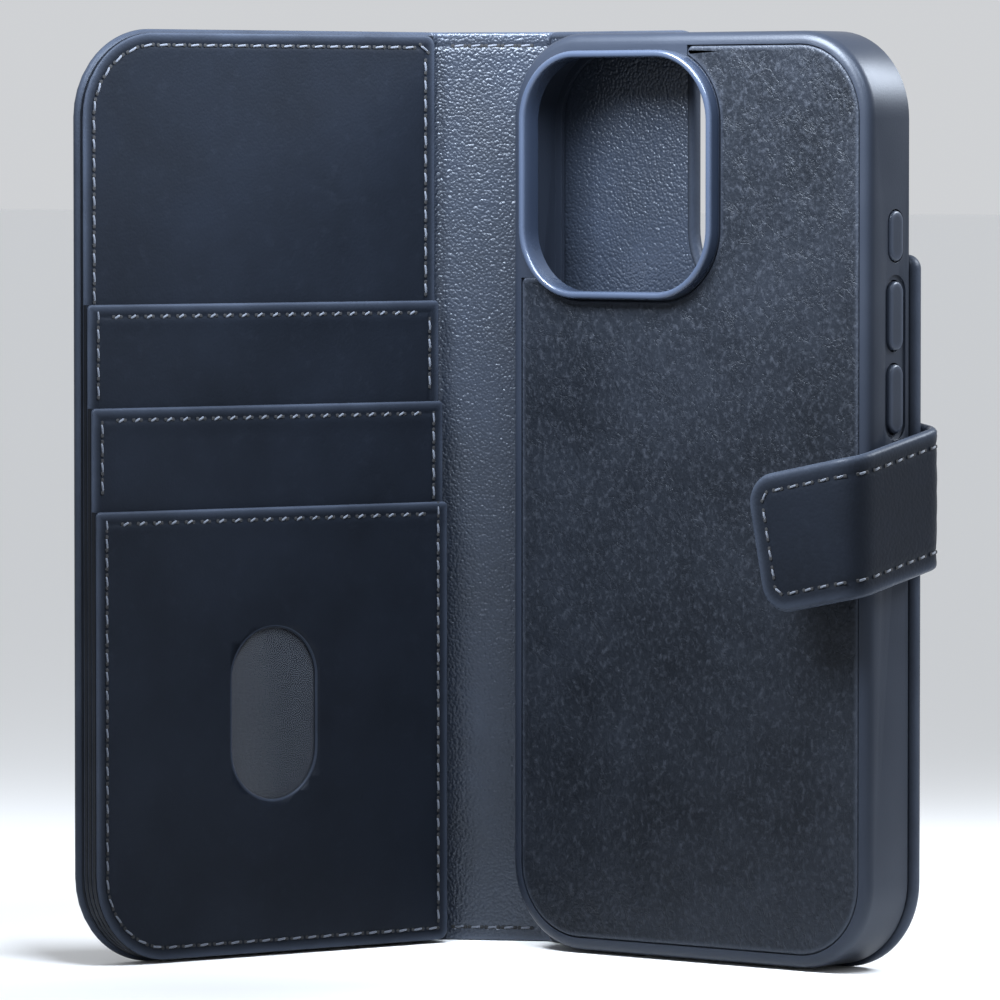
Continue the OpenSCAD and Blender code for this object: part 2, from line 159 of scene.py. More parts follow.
def new_group(name, inputs, outputs):
    """An empty shader group with float sockets. Returns the group, its input node and its output node."""
    tree = bpy.data.node_groups.new(name, "ShaderNodeTree")
    for socket, value in inputs.items():
        made = tree.interface.new_socket(socket, in_out="INPUT", socket_type="NodeSocketFloat")
        made.default_value = value
    for socket in outputs:
        tree.interface.new_socket(socket, in_out="OUTPUT", socket_type="NodeSocketFloat")
    return tree, tree.nodes.new("NodeGroupInput"), tree.nodes.new("NodeGroupOutput")


def math_node(tree, operation, a, b=0.0, clamp=False):
    """The output of a Math node."""
    return node(tree, "Math", {0: a, 1: b}, operation=operation, use_clamp=clamp).outputs[0]


def build_grain_group():
    """Grain height = domed cells plus finer noise. Tone = slow noise. Scuff = sparse fine marks."""
    tree, start, end = new_group("hide_grain", {"Cells": 1500.0, "Blotches": 35.0},
                                 ["Height", "Tone", "Scuff"])
    where = node(tree, "TexCoord").outputs["Object"]
    cells = node(tree, "TexVoronoi", {"Vector": where, "Scale": start.outputs["Cells"], "Randomness": 1.0},
                 feature="SMOOTH_F1")
    cells.inputs["Smoothness"].default_value = 0.4
    dome = math_node(tree, "SUBTRACT", 1.0, math_node(tree, "POWER", cells.outputs["Distance"], 1.6))
    fine = node(tree, "TexNoise", {"Vector": where, "Scale": 2600.0, "Detail": 2.0})
    height = math_node(tree, "ADD", dome, math_node(tree, "MULTIPLY", fine.outputs["Fac"], 0.5))
    tone = node(tree, "TexNoise", {"Vector": where, "Scale": start.outputs["Blotches"], "Detail": 6.0,
                                   "Roughness": 0.62})
    spread_tone = node(tree, "MapRange", {"Value": tone.outputs["Fac"], "From Min": 0.32, "From Max": 0.68})
    scuff = node(tree, "TexNoise", {"Vector": where, "Scale": 420.0, "Detail": 4.0, "Roughness": 0.7})
    marks = node(tree, "MapRange", {"Value": scuff.outputs["Fac"], "From Min": 0.56, "From Max": 0.74})
    tree.links.new(height, end.inputs["Height"])
    tree.links.new(spread_tone.outputs[0], end.inputs["Tone"])
    tree.links.new(marks.outputs[0], end.inputs["Scuff"])
    return tree


hide_grain = build_grain_group()


def blend_colour(tree, factor, a, b):
    """The colour output of a Mix node."""
    return node(tree, "Mix", {0: factor, 6: a, 7: b}, data_type="RGBA").outputs[2]


def leather(name, dark, light, worn_and_lit, cells, blotches, rough, bump, coat=0.0, scuffs=0.06, shine=0.25):
    """Leather whose colour runs between dark and light with its tone, and to worn_and_lit along the raised
    edges, which is edge wear plus a painted highlight.
    """
    made, tree, shader = new_material(name)
    grain = node(tree, "Group", node_tree=hide_grain)
    grain.inputs["Cells"].default_value = cells
    grain.inputs["Blotches"].default_value = blotches
    wear_and_highlight = node(tree, "Attribute", attribute_name="wear_and_highlight").outputs["Fac"]
    body = blend_colour(tree, grain.outputs["Tone"], dark, light)
    # The raised edges are painted lighter here: burnish wear plus a painted highlight. The scuffs are real
    # marks.
    rubbed_and_lit = math_node(tree, "MULTIPLY", wear_and_highlight, math_node(tree, "ADD", math_node(
        tree, "MULTIPLY", grain.outputs["Tone"], 0.5), 0.45), clamp=True)
    marks = math_node(tree, "MAXIMUM", rubbed_and_lit, math_node(tree, "MULTIPLY", grain.outputs["Scuff"], scuffs))
    colour = blend_colour(tree, marks, body, worn_and_lit)
    tree.links.new(colour, shader.inputs["Base Color"])
    roughness = node(tree, "MapRange", {"Value": grain.outputs["Tone"], "To Min": rough[1],
                                        "To Max": rough[0]})
    tree.links.new(roughness.outputs[0], shader.inputs["Roughness"])
    shader.inputs["Specular IOR Level"].default_value = shine
    shader.inputs["Specular Tint"].default_value = BLUE_TINT
    shader.inputs["Coat Weight"].default_value = coat
    shader.inputs["Coat Roughness"].default_value = 0.3
    relief = node(tree, "Bump", {"Height": grain.outputs["Height"], "Strength": 0.6, "Distance": bump})
    tree.links.new(relief.outputs[0], shader.inputs["Normal"])
    return made


cover_leather = leather("cover_leather", NAVY_DARK, NAVY_LIGHT, NAVY_WORN_AND_LIT, 1700.0, 30.0, (0.38, 0.5),
                        0.00005, 0.02, shine=0.09)
pocket_leather = leather("pocket_leather", NAVY_DARK, NAVY_LIGHT, NAVY_WORN_AND_LIT, 1900.0, 42.0, (0.4, 0.52),
                         0.00004, 0.01, shine=0.075)
pebbled_lining = leather("pebbled_lining", (0.007, 0.0095, 0.0150, 1), (0.012, 0.016, 0.025, 1),
                         (0.036, 0.046, 0.068, 1), 1900.0, 60.0, (0.28, 0.37), 0.00022, 0.06, 0.08, 0.5)

# ---- Rear cover ----
# Leather over a stiff board, with the edge turned in all round and a lining bonded inside. The top right
# corner is cut away around the camera. It is one slab: an edge profile carried around the outline.

REAR_EDGE = 1.1
REAR_BORDER = 1.3
COVER_CORNER = 16.0
NOTCH_FIT = 0.9
NOTCH_CORNER = 13.8
NOTCH_TIP_RISE = 6.7
NOTCH_LEFT_ROUND = 4.0
SPINE_SIDE_ROUND = 1.6


def box_mm(name):
    """A CAD node's lowest and highest corners in millimetres."""
    low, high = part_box(name)
    return np.array(low) / MM, np.array(high) / MM


def trace(segments, step=1.5):
    """An outline from lines ("line", start, end) and arcs ("arc", centre, radius, from, to) in degrees.
    It runs counterclockwise, so inwards is on the left. Returns points and inward normals."""
    points, normals = [], []
    for kind, *values in segments:
        if kind == "line":
            start, end = np.array(values[0], float), np.array(values[1], float)
            length = np.linalg.norm(end - start)
            if length < 1e-6:
                continue
            count = max(2, int(length / step))
            along = (end - start) / length
            points.append(start + np.arange(count)[:, None] / count * (end - start))
            normals.append(np.tile([-along[1], along[0]], (count, 1)))
        else:
            centre, radius, begin, end = values
            count = max(6, int(abs(end - begin) / 5))
            angle = np.radians(begin + np.arange(count) / count * (end - begin))
            ray = np.stack([np.cos(angle), np.sin(angle)], 1)
            points.append(np.array(centre) + radius * ray)
            normals.append(-ray if end > begin else ray)
    return np.concatenate(points), np.concatenate(normals)


def round_box(left, right, low, high, radii):
    """The segments of a rectangle with round corners: bottom left, bottom right, top right, top left."""
    a, b, c, d = radii
    return [("arc", (left + a, low + a), a, 180, 270), ("line", (left + a, low), (right - b, low)),
            ("arc", (right - b, low + b), b, -90, 0), ("line", (right, low + b), (right, high - c)),
            ("arc", (right - c, high - c), c, 0, 90), ("line", (right - c, high), (left + d, high)),
            ("arc", (left + d, high - d), d, 90, 180), ("line", (left, high - d), (left, low + a))]


def rolled(back, front, reach, border):
    """An edge profile of (inset, height, wear_and_highlight): a half ellipse from the back face round to the
    front. The third column is 1 on the rounded edge, where edges are painted lighter as wear plus a painted
    highlight.
    """
    angle = np.linspace(-math.pi / 2, math.pi / 2, 9)
    middle, rise = (back + front) / 2, (front - back) / 2
    edge = np.stack([reach * (1 - np.cos(angle)), middle + rise * np.sin(angle), np.cos(angle)], 1)
    return np.concatenate([[(border, back, 0)], edge, [(border, front, 0)]])


def add_object(name, mesh, materials, smooth=50):
    """Links a finished mesh as an object at the origin, shaded smooth up to the given angle."""
    for material in materials:
        mesh.materials.append(material)
    mesh.shade_smooth()
    mesh.set_sharp_from_angle(angle=math.radians(smooth))
    made = bpy.data.objects.new(name, mesh)
    bpy.context.scene.collection.objects.link(made)
    return made


def solid(name, points, faces, wear_and_highlight, patches, materials):
    """A closed mesh in metres: doubles are merged, holes filled, and faces turned outwards."""
    mesh = bpy.data.meshes.new(name)
    mesh.from_pydata((points * MM).tolist(), [], faces)
    mesh.polygons.foreach_set("material_index", np.asarray(patches, np.int32))
    # Per-point edge mask that the materials read to paint edges lighter: edge wear plus a painted highlight.
    mesh.attributes.new("wear_and_highlight", "FLOAT", "POINT").data.foreach_set("value", np.asarray(wear_and_highlight, np.float32))
    work = bmesh.new()
    work.from_mesh(mesh)
    bmesh.ops.remove_doubles(work, verts=work.verts, dist=1e-7)
    gaps = [e for e in work.edges if e.is_boundary]
    if gaps:
        bmesh.ops.holes_fill(work, edges=gaps, sides=0)
    bmesh.ops.recalc_face_normals(work, faces=work.faces)
    if work.calc_volume(signed=True) < 0:
        bmesh.ops.reverse_faces(work, faces=work.faces)
    work.to_mesh(mesh)
    work.free()
    return add_object(name, mesh, materials)


def carried(name, outline, profile, space, materials, front_patch=0, closed=False):
    """A profile (inset, height, wear_and_highlight) carried around an outline, point = P + inset * inward
    normal.
    The third column is an edge mask that paints edges lighter: wear plus a painted highlight.
    Its two ends are filled flat, or joined to each other where the profile is closed."""
    points, normals = outline
    inset, height, wear_and_highlight = np.asarray(profile, float).T
    ring = points[None] + inset[:, None, None] * normals[None]
    placed = space(ring[..., 0], ring[..., 1], np.broadcast_to(height[:, None], ring.shape[:2]))
    rows, around = ring.shape[:2]
    row, column = np.meshgrid(np.arange(rows if closed else rows - 1), np.arange(around), indexing="ij")
    after, beside = (row + 1) % rows, (column + 1) % around
    quads = np.stack([row * around + column, row * around + beside,
                      after * around + beside, after * around + column], -1).reshape(-1, 4)
    faces, patches = quads.tolist(), [0] * len(quads)
    if not closed:
        faces += [list(range(around))[::-1], list(range((rows - 1) * around, rows * around))]
        patches += [0, front_patch]
    return solid(name, placed.reshape(-1, 3), faces, np.repeat(wear_and_highlight, around), patches, materials)


rear_low, rear_high = box_mm("rear_outer_skin")
lining_low, _ = box_mm("rear_lining")
shell_low, shell_high = box_mm("shell_frame")
ring_low, ring_high = box_mm("camera_ring")
cover_top = rear_high[2]
shell_middle = (shell_low[0] + shell_high[0]) / 2


def rear_space(x, z, depth):
    """Depth is measured from the rear cover's outer face towards -Y."""
    return np.stack([x, rear_high[1] - depth, z], -1)


def rear_outline():
    """The cover's outline with its camera notch, which mirrors the shell's camera ring."""
    left, right = rear_low[0], rear_high[0]
    notch_left = 2 * shell_middle - ring_high[0] - NOTCH_FIT
    notch_right = 2 * shell_middle - ring_low[0] + NOTCH_FIT
    notch_low = ring_low[2] - NOTCH_FIT
    hub = np.array([notch_right - NOTCH_CORNER, notch_low + NOTCH_CORNER])
    tip_angle = math.degrees(math.asin((hub[1] - notch_low - NOTCH_TIP_RISE) / NOTCH_CORNER))
    tip_turn = math.radians(tip_angle)
    tip_start = hub + NOTCH_CORNER * np.array([math.cos(tip_turn), -math.sin(tip_turn)])
    tip_radius = (right - tip_start[0]) / 2
    tip = (right - tip_radius, tip_start[1])
    corner, small, ear = COVER_CORNER, SPINE_SIDE_ROUND, NOTCH_LEFT_ROUND
    inner = (notch_left + NOTCH_CORNER, hub[1])
    return trace([("arc", (left + small, small), small, 180, 270),
                  ("line", (left + small, 0), (right - corner, 0)),
                  ("arc", (right - corner, corner), corner, -90, 0),
                  ("line", (right, corner), (right, tip[1])),
                  ("arc", tip, tip_radius, 0, 180),
                  ("arc", tuple(hub), NOTCH_CORNER, -tip_angle, -90),
                  ("line", (hub[0], notch_low), (inner[0], notch_low)),
                  ("arc", inner, NOTCH_CORNER, -90, -180),
                  ("line", (notch_left, inner[1]), (notch_left, cover_top - ear)),
                  ("arc", (notch_left - ear, cover_top - ear), ear, 0, 90),
                  ("line", (notch_left - ear, cover_top), (left + small, cover_top)),
                  ("arc", (left + small, cover_top - small), small, 90, 180),
                  ("line", (left, cover_top - small), (left, small))])


rear_thickness = rear_high[1] - lining_low[1]
rear_cover = carried("rear_cover_leather", rear_outline(),
                     rolled(0, rear_thickness, REAR_EDGE, REAR_BORDER), rear_space,
                     [cover_leather, pebbled_lining], front_patch=1)
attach(rear_cover, "rear_cover")
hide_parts("rear_outer_skin", "rear_board", "rear_magnets", "rear_lining")

# ---- Spine ----
# One strip of leather runs from cover to cover, creased along each fold, and its pebbled lining shows
# inside. It is two pieces that meet at the middle.

SPINE_TUCK = 2.4
SPINE_BEND = 1.3
SPINE_OUTER = 0.76
SPINE_INNER = 0.72
HEM_STITCH = 2.5
FOLD_REACH = 1.5
EDGE_STEPS = [0, 0.04, 0.1, 0.2, 0.32, 0.5, 0.7, 0.95, 1.25, 1.55,
              1.8, 2.0, 2.2, 2.4, 2.6, 2.9, 3.3, 3.8, 4.6, 6.0]

joints = {j["name"]: j for j in frame["joints"]}


def joint_place(name):
    """A joint's axis in X and Y, in millimetres."""
    return np.array(joints[name]["pos_m"][:2]) / MM


spine_turn = math.radians(90 - joints["spine_fold"]["range_deg"][1])
front_turn = spine_turn + math.radians(90 - joints["front_fold"]["range_deg"][1])
rear_axis, front_axis = joint_place("spine_fold"), joint_place("front_fold")
spine_along = np.array([-math.cos(spine_turn), -math.sin(spine_turn)])
front_along = np.array([-math.cos(front_turn), -math.sin(front_turn)])
front_inward = np.array([math.sin(front_turn), -math.cos(front_turn)])


def spread(length, coarse):
    """Distances from 0 to length that lie close together near both ends."""
    ends = np.array([e for e in EDGE_STEPS if e < length / 2.2])
    inside = np.linspace(ends[-1], length - ends[-1], max(3, int((length - 2 * ends[-1]) / coarse)))
    return np.concatenate([ends[:-1], inside, (length - ends[:-1])[::-1]])


def edge_distance(a, b, width, height, radii):
    """Distance inwards from the edge of a rounded rectangle. In each quarter it is
    r - |max(q, 0)| - min(max(q), 0), where q is the offset from that corner's arc centre."""
    low_left, low_right, high_right, high_left = radii
    radius = np.where(b < height / 2, np.where(a < width / 2, low_left, low_right),
                      np.where(a < width / 2, high_left, high_right))
    qa = np.abs(a - width / 2) - width / 2 + radius
    qb = np.abs(b - height / 2) - height / 2 + radius
    outside = np.hypot(np.maximum(qa, 0), np.maximum(qb, 0)) + np.minimum(np.maximum(qa, qb), 0)
    return np.maximum(radius - outside, 0)


def chord(b, height, low_radius, high_radius):
    """How far a rounded rectangle's side stands in from its widest at height b: r - sqrt(r^2 - (r - b)^2)."""
    low = np.clip(low_radius - b, 0, None)
    high = np.clip(high_radius - (height - b), 0, None)
    return (low_radius - np.sqrt(np.maximum(low_radius ** 2 - low ** 2, 0))
            + high_radius - np.sqrt(np.maximum(high_radius ** 2 - high ** 2, 0)))


def slab(name, width, height, radii, space, back, front, roll, materials, part=(0, 1), patches=(0, 0),
         relief=None, coarse=2.4, wear_and_highlight_reach=0.9):
    """A soft-edged panel over a rounded rectangle (a, b). Its faces close on the middle plane at the edge:
    height = middle + (face - middle) * sqrt(1 - (1 - d / roll)^2), where d is the distance to the edge.
    part keeps only a share of its width. relief(a, b, d) is added to the front."""
    b = spread(height, coarse)[:, None]
    u = spread(width, coarse) / width
    u = u[(u >= part[0] - 1e-9) & (u <= part[1] + 1e-9)]
    u = np.unique(np.concatenate([u, [max(part[0], 0), min(part[1], 1)]]))[None]
    left = chord(b, height, radii[0], radii[3])
    right = width - chord(b, height, radii[1], radii[2])
    a = left + u * (right - left)
    b = b + 0 * a
    distance = edge_distance(a, b, width, height, radii)
    share = np.sqrt(1 - (1 - np.clip(distance / roll, 0, 1)) ** 2)
    middle = (back + front) / 2
    top = middle + (front - middle + (relief(a, b, distance) if relief else 0)) * share
    under = middle + (back - middle) * share
    rows, columns = a.shape
    points = np.concatenate([space(a, b, top).reshape(-1, 3), space(a, b, under).reshape(-1, 3)])
    row, column = np.meshgrid(np.arange(rows - 1), np.arange(columns - 1), indexing="ij")
    first = (row * columns + column).ravel()
    quads = np.stack([first, first + 1, first + columns + 1, first + columns], -1)
    count = rows * columns
    faces = np.concatenate([quads, quads[:, ::-1] + count]).tolist()
    index = [patches[1]] * len(quads) + [patches[0]] * len(quads)
    # Edge mask, 1 at the rim: edge wear plus a painted highlight.
    wear_and_highlight = np.exp(-(distance / wear_and_highlight_reach) ** 2).ravel()
    return solid(name, points, faces, np.tile(wear_and_highlight, 2), index, materials)


def distances_along(line):
    """Each point's distance from the start of a line of points."""
    return np.concatenate([[0], np.cumsum(np.linalg.norm(np.diff(line, axis=0), axis=1))])


def bent_line(corners, reaches):
    """A line through corner points whose interior corners are rounded, each by the curve
    (1-t)^2 P1 + 2t(1-t) C + t^2 P2, with P1 and P2 at that corner's reach from the corner C."""
    corners = [np.array(c, float) for c in corners]
    parts, t = [corners[0][None]], np.linspace(0, 1, 15)[:, None]
    for before, corner, after, reach in zip(corners, corners[1:], corners[2:], reaches):
        start = corner + reach * (before - corner) / np.linalg.norm(before - corner)
        end = corner + reach * (after - corner) / np.linalg.norm(after - corner)
        parts.append((1 - t) ** 2 * start + 2 * t * (1 - t) * corner + t ** 2 * end)
    parts.append(corners[-1][None])
    return np.concatenate(parts)


def along_line(line, s):
    """Points and left-hand normals at distances s along a line. Past its ends they keep the end's values."""
    at = distances_along(line)
    tangent = np.gradient(line, at, axis=0)
    x, y = np.interp(s, at, line[:, 0]), np.interp(s, at, line[:, 1])
    tx, ty = np.interp(s, at, tangent[:, 0]), np.interp(s, at, tangent[:, 1])
    size = np.hypot(tx, ty)
    return np.stack([x, y], -1), np.stack([-ty / size, tx / size], -1)


spine_ends = rear_axis + [SPINE_TUCK, 0], front_axis + SPINE_TUCK * front_along
spine_line = bent_line([spine_ends[0], rear_axis, front_axis, spine_ends[1]], (SPINE_BEND, SPINE_BEND))
spine_length = distances_along(spine_line)[-1]


def spine_space(s, z, inwards):
    """The strip follows the folded line. Inwards is the side that the lining is on."""
    place, left = along_line(spine_line, s)
    return np.concatenate([place + inwards[..., None] * left, z[..., None]], -1)


def hem(a, b, distance):
    """The lining dips along the seam inside each end."""
    from_end = np.minimum(b, cover_top - b)
    return -0.16 * np.exp(-((from_end - HEM_STITCH) / 0.45) ** 2) + 0.06 * (from_end < HEM_STITCH)


for half_name, part, pair, start, end in (
        ("spine_leather_rear", (0, 0.5), ("rear_cover", "spine"),
         rear_axis + [FOLD_REACH, 0], rear_axis + FOLD_REACH * spine_along),
        ("spine_leather_front", (0.5, 1), ("spine", "front_cover"),
         front_axis - FOLD_REACH * spine_along, front_axis + FOLD_REACH * front_along)):
    strip = slab(half_name, spine_length, cover_top, (0.3,) * 4, spine_space, -SPINE_OUTER, SPINE_INNER,
                 0.6, [cover_leather, pebbled_lining], part=part, patches=(0, 1), relief=hem, coarse=1.2)
    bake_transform(strip)
    if "rear" in half_name:
        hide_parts("spine_skin", "spine_stiffener", "spine_lining")

# ---- Front cover ----
# Leather over a board, like the rear cover, with its edge turned in. The clasp's magnet is inside it.

FRONT_DEPTH = 2.2
FRONT_NEAR = 1.2
FRONT_REACH = 80.2
FRONT_EDGE = 1.1
CREASE = 0.8


def front_space(m, z, depth):
    """m runs from the fold towards the free edge, and depth inwards from the outer face."""
    flat = front_axis - CREASE * front_inward + m[..., None] * front_along + depth[..., None] * front_inward
    return np.concatenate([flat, z[..., None]], -1)


def shifted(space, near, low):
    """The same space with its (a, b) corner moved."""
    return lambda a, b, depth: space(a + near, b + low, depth)


front_cover = slab("front_cover_leather", FRONT_REACH - FRONT_NEAR, cover_top,
                   (SPINE_SIDE_ROUND, COVER_CORNER, COVER_CORNER, SPINE_SIDE_ROUND),
                   shifted(front_space, FRONT_NEAR, 0), 0, FRONT_DEPTH, FRONT_EDGE, [cover_leather])
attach(front_cover, "front_cover")
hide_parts("front_outer_skin", "front_board", "clasp_magnet", "front_lining")

# ---- Card pockets ----
# Four leather panels are sewn over each other inside the front cover. The full-height one closes the cash
# pocket, and each shorter one has a folded hem along its top, where a card slips in behind it.

PANEL_NEAR = 2.2
PANEL_FAR = 79.6
PANEL_LOW = 0.7
PANEL_CORNER = 15.3
PANEL_SPINE_CORNER = 2.0
PANEL_TOP_CORNER = 0.9
PANEL_ROLL = 0.42
STITCH_INSET = 2.2
CHANNEL_DEPTH = 0.13
HEM_WIDTH = 4.2
HEM_LIFT = 0.35
WINDOW_MIDDLE = 41.2
WINDOW_LOW = 28.4
WINDOW_SIZE = (18.6, 31.5)
LEVELS = {"pocket_base_panel": (2.65, 3.1), "slot_panel_1": (3.95, 4.35),
          "slot_panel_2": (5.2, 5.6), "slot_panel_3": (6.6, 7.0)}

panel_width = PANEL_FAR - PANEL_NEAR


def panel_relief(panel_height, open_top):
    """Front surface of a pocket panel: a sewn channel along the edges, a thicker hem, a slight crown,
    and a soft lift towards the middle of an open top edge."""
    def relief(a, b, distance):
        channel = -CHANNEL_DEPTH * np.exp(-((distance - STITCH_INSET) / 0.42) ** 2)
        from_top = panel_height - b
        folded = open_top * 0.14 / (1 + np.exp((from_top - HEM_WIDTH) / 0.3))
        across = 1 - (2 * a / panel_width - 1) ** 2
        lift = open_top * HEM_LIFT * across * np.exp(-from_top / 9)
        crown = 0.12 * np.clip(distance / 14, 0, 1)
        return channel + folded + lift + crown
    return relief


panel_tops = {}
for panel, (panel_back, panel_front) in LEVELS.items():
    _, corner_high = box_mm(panel)
    top_edge = corner_high[2]
    panel_tops[panel] = top_edge
    is_base = panel == "pocket_base_panel"
    top_corners = (PANEL_CORNER, PANEL_SPINE_CORNER) if is_base else (PANEL_TOP_CORNER, PANEL_TOP_CORNER)
    tall = top_edge - PANEL_LOW
    sheet = slab(panel + "_leather", panel_width, tall, (PANEL_SPINE_CORNER, PANEL_CORNER, *top_corners),
                 shifted(front_space, PANEL_NEAR, PANEL_LOW), panel_back, panel_front + 0.06, PANEL_ROLL,
                 [pocket_leather], relief=panel_relief(tall, 0 if is_base else 1))
    if panel == "slot_panel_3":
        half_width = WINDOW_SIZE[0] / 2
        window_outline = trace(round_box(WINDOW_MIDDLE - half_width, WINDOW_MIDDLE + half_width, WINDOW_LOW,
                                         WINDOW_LOW + WINDOW_SIZE[1], (half_width,) * 4))
        cutter = carried("window_cutter", window_outline, [(0, panel_back - 2, 0), (0, panel_front + 2, 0)],
                         front_space, [])
        cut = sheet.modifiers.new("window", "BOOLEAN")
        cut.object = cutter
        cut.solver = "EXACT"
        bpy.context.view_layer.update()
        evaluated = sheet.evaluated_get(bpy.context.evaluated_depsgraph_get())
        cut_mesh = bpy.data.meshes.new_from_object(evaluated)
        sheet.modifiers.clear()
        sheet.data = cut_mesh
        bpy.data.objects.remove(cutter)
        # The third column paints the window's cut edge lighter: wear plus a painted highlight.
        rim_profile = [(0.12, panel_back + 0.05, 0), (0.16, panel_front - 0.05, 0.5),
                       (0.05, panel_front + 0.16, 0.9), (-0.2, panel_front + 0.24, 0.7),
                       (-0.5, panel_front + 0.14, 0), (-0.45, panel_front - 0.2, 0)]
        rim = carried("window_rim", window_outline, rim_profile, front_space, [pocket_leather], closed=True)
        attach(rim, "front_cover")
    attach(sheet, "front_cover")
    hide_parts(panel)



def dress(node_name, material):
    """Gives a CAD node's own mesh one material."""
    frame["nodes"][node_name].data.materials.clear()
    frame["nodes"][node_name].data.materials.append(material)


for seam in ("cash_pocket_seam", "slot_seam_1", "slot_seam_2", "slot_seam_3"):
    dress(seam, pocket_leather)

film, film_tree, film_shader = new_material("clear_film")
film_shader.inputs["Base Color"].default_value = (0.05, 0.056, 0.068, 1)
film_shader.inputs["Alpha"].default_value = 0.3
film_shader.inputs["Roughness"].default_value = 0.12
film_where = node(film_tree, "TexCoord").outputs["Object"]
film_ripple = node(film_tree, "TexNoise", {"Vector": film_where, "Scale": 90.0})
film_bump = node(film_tree, "Bump", {"Height": film_ripple.outputs["Fac"], "Strength": 0.25,
                                     "Distance": 0.0002})
film_tree.links.new(film_bump.outputs[0], film_shader.inputs["Normal"])
dress("window_film", film)

# ---- Stitching ----
# Waxed grey-blue thread in even stitches. Each is a short fat grain of thread that dives into a needle hole
# at both ends, and each hole is a flat near-black lozenge of painted shade. Rows along the slots lean, and
# all the others lie nearly straight.

THREAD_PITCH = 3.4
THREAD_WIDTH = 0.42
STITCH_LENGTH = 2.2
HOLE_WIDTH = 0.8
REAR_STITCH = 1.7
SEAM_CORNER = 3.0
ROW_END = 4.5
STRAP_COVERS = 17
THREAD_DARK = (0.026, 0.033, 0.048, 1)
THREAD_LIGHT = (0.066, 0.081, 0.113, 1)

thread, thread_tree, thread_shader = new_material("thread")
thread_where = node(thread_tree, "TexCoord").outputs["Object"]
fibres = node(thread_tree, "TexNoise", {"Vector": thread_where, "Scale": 2600.0, "Detail": 3.0})
thread_colour = blend_colour(thread_tree, fibres.outputs["Fac"], THREAD_DARK, THREAD_LIGHT)
thread_tree.links.new(thread_colour, thread_shader.inputs["Base Color"])
thread_shader.inputs["Roughness"].default_value = 0.62
thread_shader.inputs["Sheen Weight"].default_value = 0.3
twist = node(thread_tree, "Bump", {"Height": fibres.outputs["Fac"], "Strength": 0.8, "Distance": 0.0001})
thread_tree.links.new(twist.outputs[0], thread_shader.inputs["Normal"])

# Painted shade: a flat near-black lozenge on the surface stands for the shade inside each needle hole.
needle_hole_shade, _, hole_shade_shader = new_material("needle_hole_shade")
hole_shade_shader.inputs["Base Color"].default_value = (0.003, 0.004, 0.006, 1)
hole_shade_shader.inputs["Roughness"].default_value = 0.9


def repeated(name, template, faces, place, along, out, lean, materials):
    """Copies of a small template (along, across, up), one at each place, turned by lean in the surface."""
    across = np.cross(out, along)
    turn = np.array([[math.cos(lean), math.sin(lean)], [-math.sin(lean), math.cos(lean)]])
    flat = template[:, :2] @ turn
    points = (place[:, None] + flat[None, :, 0, None] * along[:, None]
              + flat[None, :, 1, None] * across[:, None] + template[None, :, 2, None] * out[:, None])
    count = len(template)
    shift = (np.arange(len(place)) * count)[:, None, None]
    every = (np.asarray(faces)[None] + shift).reshape(-1, 4)
    mesh = bpy.data.meshes.new(name)
    mesh.from_pydata((points.reshape(-1, 3) * MM).tolist(), [], every.tolist())
    work = bmesh.new()
    work.from_mesh(mesh)
    bmesh.ops.remove_doubles(work, verts=work.verts, dist=1e-8)
    bmesh.ops.recalc_face_normals(work, faces=work.faces)
    work.to_mesh(mesh)
    work.free()
    return add_object(name, mesh, materials, 180)


def grain_template(length, width, height, dive):
    """A stitch: a closed tube. Its radius is (1 - (2x/L)^4)^(1/2), and its ends sink by dive * (2x/L)^2."""
    t, turns = np.linspace(-1, 1, 9)[:, None], np.linspace(0, 2 * math.pi, 9)[None, :-1]
    radius = np.sqrt(np.clip(1 - t ** 4, 0, 1))
    x = t * length / 2 + 0 * turns
    y = radius * width / 2 * np.cos(turns)
    z = radius * height / 2 * np.sin(turns) + height * 0.22 - dive * t ** 2
    points = np.stack([x, y, z], -1).reshape(-1, 3)
    row, column = np.meshgrid(np.arange(8), np.arange(8), indexing="ij")
    beside = (column + 1) % 8
    first, after = row * 8, (row + 1) * 8
    faces = np.stack([first + column, first + beside, after + beside, after + column], -1)
    return points, faces.reshape(-1, 4)


def unit(vectors):
    """Rows of vectors, each scaled to a length of 1."""
    return vectors / np.linalg.norm(vectors, axis=1)[:, None]


def spaced(points, pitch, closed=False):
    """Places at an even pitch along a line of points, with their unit tangents."""
    if closed:
        points = np.concatenate([points, points[:1]])
    at = distances_along(points)
    count = max(2, int(round(at[-1] / pitch)))
    middles = (np.arange(count) + 0.5) * at[-1] / count
    place, ahead, behind = [np.stack([np.interp(s, at, column) for column in points.T], -1)
                            for s in (middles, middles + 0.2, middles - 0.2)]
    return place, unit(ahead - behind)


def sew(name, place, along, out, body=None, lean=0.12, length=STITCH_LENGTH):
    """Thread and its needle holes, which are painted shade, at the given places on a surface, riding a body
    where one is named.
    """
    template = grain_template(length, THREAD_WIDTH, THREAD_WIDTH * 0.8, THREAD_WIDTH * 0.42)
    stitches = repeated(name, *template, place, along, out, lean, [thread])
    ends = np.concatenate([place - along * length * 0.52, place + along * length * 0.52])
    holes = repeated(name + "_hole_shade", *grain_template(HOLE_WIDTH, HOLE_WIDTH * 0.8, 0.12, 0.0), ends,
                     np.tile(along, (2, 1)), np.tile(out, (2, 1)), 0, [needle_hole_shade])
    for made in (stitches, holes):
        if body:
            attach(made, body)
    return stitches, holes


